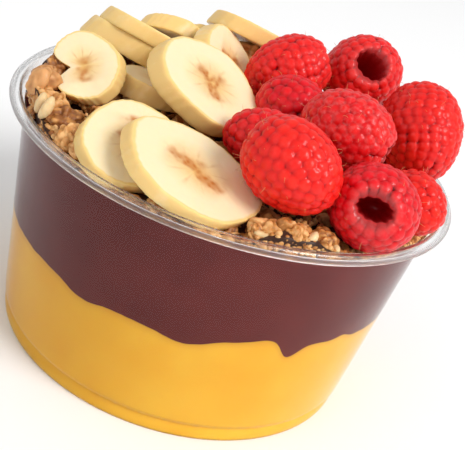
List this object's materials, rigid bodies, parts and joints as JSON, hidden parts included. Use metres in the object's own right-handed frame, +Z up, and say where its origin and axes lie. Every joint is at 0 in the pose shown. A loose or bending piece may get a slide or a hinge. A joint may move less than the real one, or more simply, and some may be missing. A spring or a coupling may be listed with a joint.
{
  "type": "acai bowl",
  "caption": "Clear plastic bowl of acai and mango puree in two layers, heaped with granola, banana slices and raspberries",
  "frame": {"origin": "centre of the underside of the bowl's foot", "axes": "+Z up; the front of the bowl, with the flat-lying banana slice at its rim, faces -Y"},
  "size_m": [0.118, 0.1178, 0.0897],
  "materials": {
    "clear_plastic": "thin clear thermoformed PET, glossy",
    "mango_puree": "smooth wet mango puree",
    "acai_puree": "thick frozen acai puree",
    "granola": "rough toasted oats, puffs and nuts",
    "banana": "moist cut banana",
    "raspberry": "satin drupelets with fine hairs"
  },
  "bodies": {
    "root": {"bowl": "clear_plastic", "mango_layer": "mango_puree", "acai_layer": "acai_puree", "granola": "granola", "banana_01": "banana", "banana_02": "banana", "banana_03": "banana", "banana_04": "banana", "banana_05": "banana", "banana_06": "banana", "banana_07": "banana", "banana_08": "banana", "banana_09": "banana", "banana_10": "banana", "banana_11": "banana", "raspberry_01": "raspberry", "raspberry_02": "raspberry", "raspberry_03": "raspberry", "raspberry_04": "raspberry", "raspberry_05": "raspberry", "raspberry_06": "raspberry", "raspberry_07": "raspberry", "raspberry_08": "raspberry", "raspberry_09": "raspberry"}
  },
  "joints": []
}
